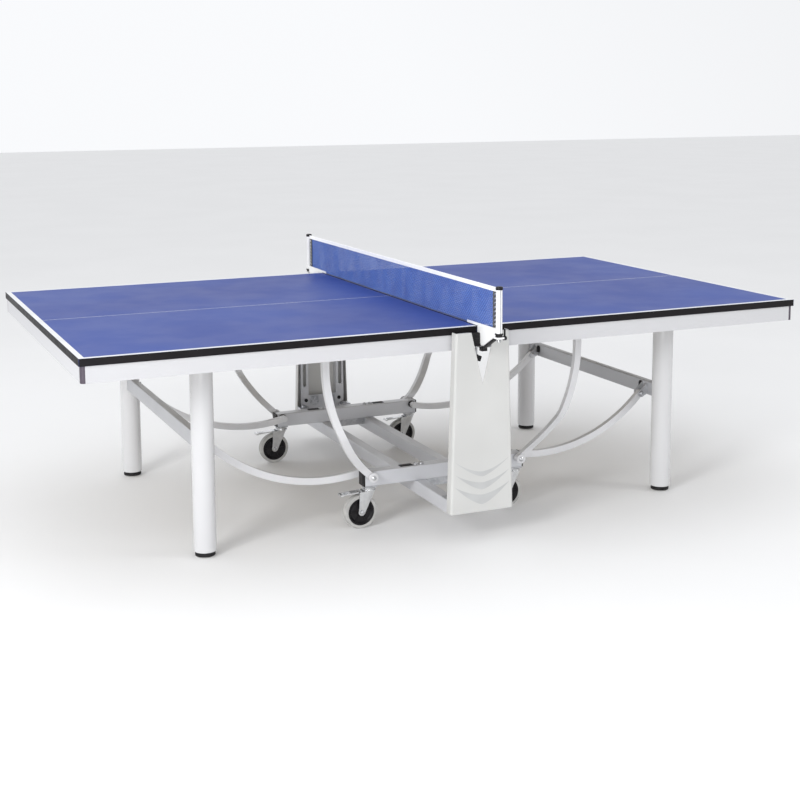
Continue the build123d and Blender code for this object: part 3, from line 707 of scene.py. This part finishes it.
def make_foot(side_name, side, end_name, end):
    """Black screw foot with a scalloped grip, a grey rim, and a threaded stem up inside the leg."""
    node = f"{end_name}_{side_name}_foot"
    at = (side * LEG_X, end * LEG_Y, 0)
    mesh = bmesh.new()
    rim = [(0, 0.5), (27, 0.5), (28, 0), (31, 0.2), (32.5, 1.6), (33, 3.6)]
    turned(mesh, rim, at, steps=64, slot=1)
    body = [
        (33, 3.6), (33.8, 4.2), (34, 6), (34, 13.5), (33.2, 16.2), (30, 17.8), (20, 18), (12, 18), (6, 18.2),
    ]
    turned(mesh, body, at, steps=64)
    grip = [
        face
        for face in mesh.faces
        if abs(face.normal.z) < 0.2 and 5 * MM < face.calc_center_median().z < 14 * MM
    ]
    pressed = [face for i, face in enumerate(sorted(grip, key=lambda f: angle_about(f, at))) if i % 2]
    bmesh.ops.inset_individual(mesh, faces=pressed, thickness=0.5 * MM, depth=-0.9 * MM)
    turned(mesh, thread(6.0, 18, 59, 1.5), at, steps=24, slot=2)
    place_piece(
        f"{node}_screw", mesh, node, ("moulded black", "tread", "zinc"), (node,), sharp=40
    )


def angle_about(face, at):
    """Direction of a face's middle about an upright axis."""
    middle = face.calc_center_median()
    return math.atan2(middle.y - at[1] * MM, middle.x - at[0] * MM)


def thread(radius, low, high, pitch):
    """Profile of a threaded rod, its crests a pitch apart."""
    rows = [(0, low)]
    height = low
    while height + pitch <= high:
        rows += [(radius - 0.7, height), (radius, height + pitch / 2)]
        height += pitch
    return rows + [(radius - 0.7, high), (0, high)]


# ------------------------------------------------------------------ chassis and uprights

RAIL_Y, RAIL_TOP = 482.0, 210.0
PIVOT_X, PIVOT_Z = 300.0, 195.0
LIFT_Y, LEG_STRUT_Y = 521.0, 435.0
PIN_X, PIN_Z = 890.0, 372.0
COVER_FACE = 800.0


def button_heads(mesh):
    """Domed bolt heads with hexagon sockets on the rails, and washers under them."""
    dome = [
        (0, 3.0), (3.0, 3.0), (3.2, 5.4), (4.4, 6.0), (7.0, 5.0), (8.6, 3.6), (8.6, 1.4), (10.5, 1.2),
        (10.5, 0), (0, 0),
    ]
    for x in (-112, -88, 88, 112):
        for end in ENDS.values():
            turned(mesh, dome, (x, end * RAIL_Y, RAIL_TOP), steps=24)


def plug_ribs(mesh):
    """Gripping ribs across the strip plugs and a moulded rim on the rails' end plugs."""
    for side in SIDES.values():
        for end in ENDS.values():
            for step in range(-3, 4):
                x, y = side * 150 + step * 6, end * RAIL_Y
                block(mesh, (x - 1, y - 10, RAIL_TOP + 1.5), (x + 1, y + 10, RAIL_TOP + 3.2))
            low, high = sorted((side * 324.5, side * 326.5))
            block(mesh, (low, y - 16, 164), (high, y + 16, 201))


def lift_nuts(side):
    """Round bosses and cap nuts on the outer ends of the chassis pivots."""

    def add(mesh):
        for end in ENDS.values():
            at = (side * PIVOT_X, end * (LIFT_Y + 15), PIVOT_Z)
            turned(mesh, [(0, 0), (18, 0), (18, 2.6), (16.6, 3.8), (0, 3.8)], at, "Y", 40, 0, end)
            turned(mesh, [(0, 3.8), (9.4, 3.8), (9, 5.5), (6, 8), (0, 9)], at, "Y", 24, 1, end)

    return add


def beam_clips(side):
    """Dark plastic clips on the crossbeam, by the leg struts, and the domed heads of the strut pins."""
    dome = [(0, 0), (12, 0), (12, 1.6), (9, 1.8), (8.6, 4), (6, 6), (0, 6.8)]

    def add(mesh):
        for end in ENDS.values():
            for face in (-1, 1):
                at = (side * PIN_X, end * LEG_STRUT_Y + face * 17, PIN_Z)
                turned(mesh, dome, at, "Y", 24, 2, face)
            y = end * (LEG_STRUT_Y - 26)
            low, high = sorted((side * 915.5, side * 909))
            block(mesh, (low, y - 9, 384), (high, y + 9, 408), 1)
            block(mesh, (low, y - 6, 404), (high, y + 6, 414), 1)

    return add


def crescent(mesh, end, tip_x, tip_z, low, high):
    """One screened crescent on an upright's face, between two curves that meet at its tips."""
    steps = 24

    def sweep(middle, sharpness):
        places = [tip_x * (2 * i / steps - 1) for i in range(steps + 1)]
        return [(x, middle + (tip_z - middle) * abs(x / tip_x) ** sharpness) for x in places]

    outline = sweep(low, 1.45) + sweep(high, 1.7)[-2:0:-1]
    prism(mesh, outline, end * (COVER_FACE - 0.4), end * (COVER_FACE + 0.25))


def flare(mesh):
    """Narrows a cover slightly at its top and widens it towards its foot."""
    narrow, wide, shoulder, foot = 0.97, 1.09, 700.0, 100.0
    for vert in mesh.verts:
        down = max(0.0, min(1.0, (shoulder - vert.co.z / MM) / (shoulder - foot)))
        vert.co.x *= narrow + (wide - narrow) * down


def make_chassis():
    softened("side_rails", "chassis powder", 2.0, 3)
    softened("cross_tubes", "chassis powder", 2.0, 3)
    softened("mounting_plates", "zinc", 0.8)
    softened("chassis_fasteners", "zinc", 0.8, more=button_heads)
    softened("plastic_plugs", "moulded black", 0.8, more=plug_ribs)
    for end_name, end in ENDS.items():
        softened(f"{end_name}_upright_frame", "chassis powder", 0.8)
        softened(f"{end_name}_upright_cover", "cover powder", 0.8, more=flare)
        mesh = bmesh.new()
        for tip_x, tip_z, low, high in ((105, 294, 234, 252), (106, 250, 187, 213), (107, 206, 134, 169)):
            crescent(mesh, end, tip_x, tip_z, low, high)
        place_piece(f"{end_name}_upright_crescents", mesh, "chassis", ("crescent ink",))


# ------------------------------------------------------------------ casters

CASTER_X, TRAIL, WHEEL_R = 297.0, 35.0, 62.0


def make_caster(side_name, side, end_name, end):
    name = f"{end_name}_{side_name}"
    x, y = side * CASTER_X, end * RAIL_Y

    def fork_details(mesh):
        race = [
            (0, 137.4), (24, 137.4), (25, 139), (25, 141.6), (23, 142.6), (23, 144), (24.4, 145), (24.4, 148),
            (23, 149.4), (0, 149.4),
        ]
        turned(mesh, race, (x, y, 0), steps=40)
        axle_end = [(0, 0), (4, 0), (4, 3), (3, 4), (0, 4)]
        for out in (-1, 1):
            hexagon(mesh, 13, 6, (x - TRAIL, y + out * 23.5, WHEEL_R), "Y", 1)
            turned(mesh, axle_end, (x - TRAIL, y + out * 25, WHEEL_R), "Y", 16, 1, out)

    softened(f"{name}_caster_fork", ("chrome", "zinc"), 0.5, more=fork_details)

    mesh = bmesh.new()
    at = (x - TRAIL, y, WHEEL_R)
    tread = [
        (50.1, -14.6), (57.5, -15), (60.2, -14), (61.6, -11.5), (62, -8), (62, -1.4), (61.2, -0.7),
        (61.2, 0.7), (62, 1.4), (62, 8), (61.6, 11.5), (60.2, 14), (57.5, 15), (50.1, 14.6), (50.1, -14.6),
    ]
    turned(mesh, tread, at, "Y", 64, 1)
    hub = [
        (8.2, -13), (12, -13.5), (13, -12.5), (14.5, -8), (39, -7), (42, -10), (44, -13), (46, -13.5),
        (50, -13.5), (50, 13.5), (46, 13.5), (44, 13), (42, 10), (39, 7), (14.5, 8), (13, 12.5), (12, 13.5),
        (8.2, 13), (8.2, -13),
    ]
    turned(mesh, hub, at, "Y", 64)
    centred = Matrix.Translation([value * MM for value in at])
    for face_side in (-1, 1):
        low, high = sorted((face_side * 7, face_side * 10.5))
        for spoke in range(6):
            corners = block(mesh, (13, low, -1.4), (43, high, 1.4))
            turn = centred @ Matrix.Rotation(math.tau * spoke / 6, 4, "Y")
            bmesh.ops.transform(mesh, matrix=turn, verts=corners)
    turned(mesh, [(4.1, -14), (8.1, -14), (8.1, 14), (4.1, 14), (4.1, -14)], at, "Y", 32, 2)
    place_piece(
        f"{name}_caster_wheel_tyred",
        mesh,
        f"{name}_wheel",
        ("moulded black", "tread", "chrome"),
        (f"{name}_caster_wheel",),
        sharp=40,
    )

    def pedal_tip(mesh):
        tip = x - 114
        block(mesh, (tip, y - 16, 126.4), (tip + 9, y + 16, 133.6))
        for rib in range(6):
            start = tip + 12 + 5 * rib
            block(mesh, (start, y - 12, 130), (start + 2.5, y + 12, 135.4 + rib * 0.15))

    softened(f"{name}_caster_pedal", "chrome", 0.7, more=pedal_tip)


# ------------------------------------------------------------------ net set

POST_Y, POST_R = 915.0, 11.0
NET_TOP, TAPE, NET_FOOT = 912.5, 15.0, 763.0
NET_END, SLEEVE = 902.5, 30.0
MESH_PITCH, CORD_GAUGE = 6.6, 2.4


def make_net():
    """Taut cord net with its cotton tape, bottom cord and black end sleeves laced to the posts, their
    zinc-grey hooks and knots partly painted highlights.
    """
    mesh = bmesh.new()
    half, low, high = NET_END - SLEEVE + 1, NET_FOOT + 1.5, NET_TOP - TAPE + 1
    across, up = round(2 * half / MESH_PITCH), round((high - low) / MESH_PITCH)
    place = Matrix.Translation((0, 0, (low + high) / 2 * MM)) @ AXES["X"]
    scale = Matrix.Diagonal(((high - low) / 2 * MM, half * MM, 1, 1))
    bmesh.ops.create_grid(mesh, x_segments=up, y_segments=across, size=1, matrix=place @ scale)
    # A taut net still bellies and sags by about a millimetre
    for vert in mesh.verts:
        lift = (vert.co.z / MM - low) / (high - low)
        y = vert.co.y / MM
        vert.co.x += (0.8 * math.sin(y / 47) + 0.5 * math.sin(y / 19 + 1)) * math.sin(math.pi * lift) * MM
        vert.co.z += 0.6 * math.sin(y / 83) * (1 - lift) * MM
    bmesh.ops.wireframe(
        mesh,
        faces=mesh.faces,
        thickness=CORD_GAUGE * MM,
        offset=0.0,
        use_replace=True,
        use_boundary=True,
        use_even_offset=True,
    )
    net = place_piece("net_cords", mesh, "chassis", ("net cord",), ("net_mesh",), sharp=60)

    tape = bmesh.new()
    block(tape, (-2.4, -NET_END, NET_TOP - TAPE), (2.4, NET_END, NET_TOP - 0.3))
    fold = [
        edge
        for edge in tape.edges
        if edge.verts[0].co.z > 0.9 and abs((edge.verts[0].co - edge.verts[1].co).y) > 0.1
    ]
    soften(tape, fold, 2.0, 4)
    stitch, gap, seam = 3.6, 5.6, NET_TOP - TAPE + 2.4
    for step in range(int(2 * (NET_END - 4) / gap)):
        y = -NET_END + 4 + step * gap
        for face in (-1, 1):
            low_x, high_x = sorted((face * 2.2, face * 2.8))
            block(tape, (low_x, y, seam - 0.35), (high_x, y + stitch, seam + 0.35))
    tape = place_piece("net_tape", tape, "chassis", ("tape",), ("net_top_band",))

    cord = bmesh.new()
    turned(cord, [(0, -half), (1.5, -half), (1.5, half), (0, half)], (0, 0, NET_FOOT + 1.2), "Y", 10)
    cord = place_piece("net_bottom_cord", cord, "chassis", ("bottom cord",))

    sleeves = bmesh.new()
    for end in ENDS.values():
        low_y, high_y = sorted((end * (NET_END - SLEEVE), end * NET_END))
        sleeve = block(sleeves, (-2.0, low_y, NET_FOOT), (2.0, high_y, NET_TOP - TAPE + 0.5))
        soften(sleeves, edges_of(sleeve), 1.2, 2)
        for step in range(9):
            z = NET_FOOT + 6 + step * 14.6
            # Metal hooks and lacing knots in zinc grey: the grey also stands in for the glints on the black
            # lacing, painted highlights
            hook_and_glint = block(sleeves, (-3.0, end * NET_END - 3.0, z), (3.0, end * NET_END + 3.0, z + 3.4), 1)
            soften(sleeves, edges_of(hook_and_glint), 0.8, 2)
            knot_and_glint_y = sorted((end * (NET_END - SLEEVE + 9), end * (NET_END - 7)))
            knot_and_glint = block(sleeves, (-3.2, knot_and_glint_y[0], z - 1.5), (3.2, knot_and_glint_y[1], z + 4.5), 1)
            lean = Matrix.Translation((0, sum(knot_and_glint_y) / 2 * MM, (z + 1.5) * MM))
            lean = lean @ Matrix.Rotation(math.radians(28 * end), 4, "X") @ lean.inverted()
            bmesh.ops.transform(sleeves, matrix=lean, verts=knot_and_glint)
            soften(sleeves, edges_of(knot_and_glint), 1.2, 2)
    sleeves = place_piece(
        "net_end_sleeves", sleeves, "chassis", ("black lacing", "zinc"), sharp=50
    )


def make_posts():
    """Ribbed white posts with painted shade in their grooves, their rounded caps, and the washer and nut at
    each foot.
    """
    posts, caps = bmesh.new(), bmesh.new()
    for end in ENDS.values():
        at = (0, end * POST_Y, 0)
        low, high = 758.0, 907.5
        made = bmesh.ops.create_cone(
            posts,
            cap_ends=True,
            segments=48,
            radius1=POST_R * MM,
            radius2=POST_R * MM,
            depth=(high - low) * MM,
            matrix=Matrix.Translation((0, end * POST_Y * MM, (low + high) / 2 * MM)),
        )["verts"]
        walls = {f for v in made for f in v.link_faces if abs(f.normal.z) < 0.5}
        outer = [f for f in walls if f.normal.y * end > 0.98 or abs(f.normal.x) > 0.99]
        bmesh.ops.inset_region(posts, faces=outer, thickness=0.2 * MM, depth=-3.0 * MM)
        # The groove floors take the grey zinc finish as painted shade, darker than the enamel around them
        for face in outer:
            face.material_index = 1
        dome = [(0, 906), (11.8, 906), (12.4, 907), (12.4, 914), (11.4, 916.2), (8.5, 917.3), (0, 917.5)]
        turned(caps, dome, at, steps=40)
        washer = [(0, 754), (14, 754), (14.6, 755), (14.6, 757.4), (13.5, 758.4), (0, 758.4)]
        turned(caps, washer, at, steps=40)
        hexagon(caps, 21, 8, (0, end * POST_Y, 750), "Z", 1)
        turned(caps, thread(6.5, 728, 746.5, 1.5), at, steps=24, slot=1)
        screw = (0, end * (POST_Y + 1), 741)
        turned(caps, [(0, -6), (4, -6), (4, 19), (0, 19)], screw, "X", 20, 1)
        grip = [(0, 15), (6.5, 15), (7.6, 16), (7.6, 25), (6, 27), (0, 27)]
        turned(caps, grip, screw, "X", 12)
        lever = block(caps, (18.5, screw[1] - 3.5, 741), (23.5, screw[1] + 3.5, 772))
        soften(caps, edges_of(lever), 1.8, 2)
    # On the posts the zinc slot only paints shade on the groove floors
    enamel, black = ("white enamel", "zinc"), ("moulded black", "chrome")
    place_piece("net_posts_ribbed", posts, "chassis", enamel, ("net_posts",))
    place_piece("net_post_caps_domed", caps, "chassis", black, ("net_post_caps",), 40)


def jaw_ribs(mesh):
    """Ribs moulded on the clamp jaws' outer faces, and the stop block under each gusset's tip."""
    for end in ENDS.values():
        low, high = sorted((end * 795, end * 815))
        block(mesh, (-12, low, 680), (9, high, 694))
        for step in range(4):
            z = 706 + step * 8
            low, high = sorted((end * 790.5, end * 792))
            block(mesh, (-34, low, z - 1.4), (-12, high, z + 1.4))


def make_knob(end_name, end):
    """Clamp knob: two rounded wings on a hub, and a bright threaded screw."""
    x, y = -16.0, end * 780.0
    mesh = bmesh.new()
    hub = [(0, 642), (6, 642), (8.4, 643.5), (9, 646), (9, 660), (7.5, 663.5), (0, 664)]
    turned(mesh, hub, (x, y, 0), steps=32)
    tilt = Matrix.Translation((x * MM, y * MM, 653 * MM)) @ Matrix.Rotation(math.radians(18), 4, "Y")
    for side in (-1, 1):
        low, high = sorted((side * 4, side * 19))
        wing = block(mesh, (low, -5, -10), (high, 5, 10))
        soften(mesh, edges_of(wing), 3.2, 3)
        # The new wing is the only shape still near the origin
        unplaced = [vert for vert in mesh.verts if vert.co.z < 0.1][:1]
        bmesh.ops.transform(mesh, matrix=tilt, verts=grown_from(unplaced))
    turned(mesh, thread(4.0, 663, 708, 1.25), (x, y, 0), steps=20, slot=1)
    place_piece(
        f"{end_name}_clamp_knob_winged",
        mesh,
        f"{end_name}_clamp_knob",
        ("moulded black", "chrome"),
        (f"{end_name}_clamp_knob",),
    )


def make_net_set():
    make_posts()
    make_net()
    softened("net_brackets", "white enamel", 0.6)
    softened("net_clamps", "moulded black", 1.2, more=jaw_ribs)
    for end_name, end in ENDS.items():
        make_knob(end_name, end)


FINISHES = make_materials()


def main():
    make_camera()
    make_lights()
    floor = bmesh.new()
    bmesh.ops.create_grid(floor, x_segments=1, y_segments=1, size=30)
    data = bpy.data.meshes.new("floor")
    floor.to_mesh(data)
    floor.free()
    ground = bpy.data.objects.new("floor", data)
    SCENE.collection.objects.link(ground)
    data.materials.append(
        coating("pale_studio_floor", "#F6F6F6", "#F8F8F8", (0.8, 0.9), 30.0, 0.1, 900.0, strength=0.05)
    )
    for side_name, side in SIDES.items():
        make_half(side_name, side)
        make_legs(side_name, side)
        for end_name, end in ENDS.items():
            make_foot(side_name, side, end_name, end)
            make_caster(side_name, side, end_name, end)
    make_chassis()
    make_net_set()


main()
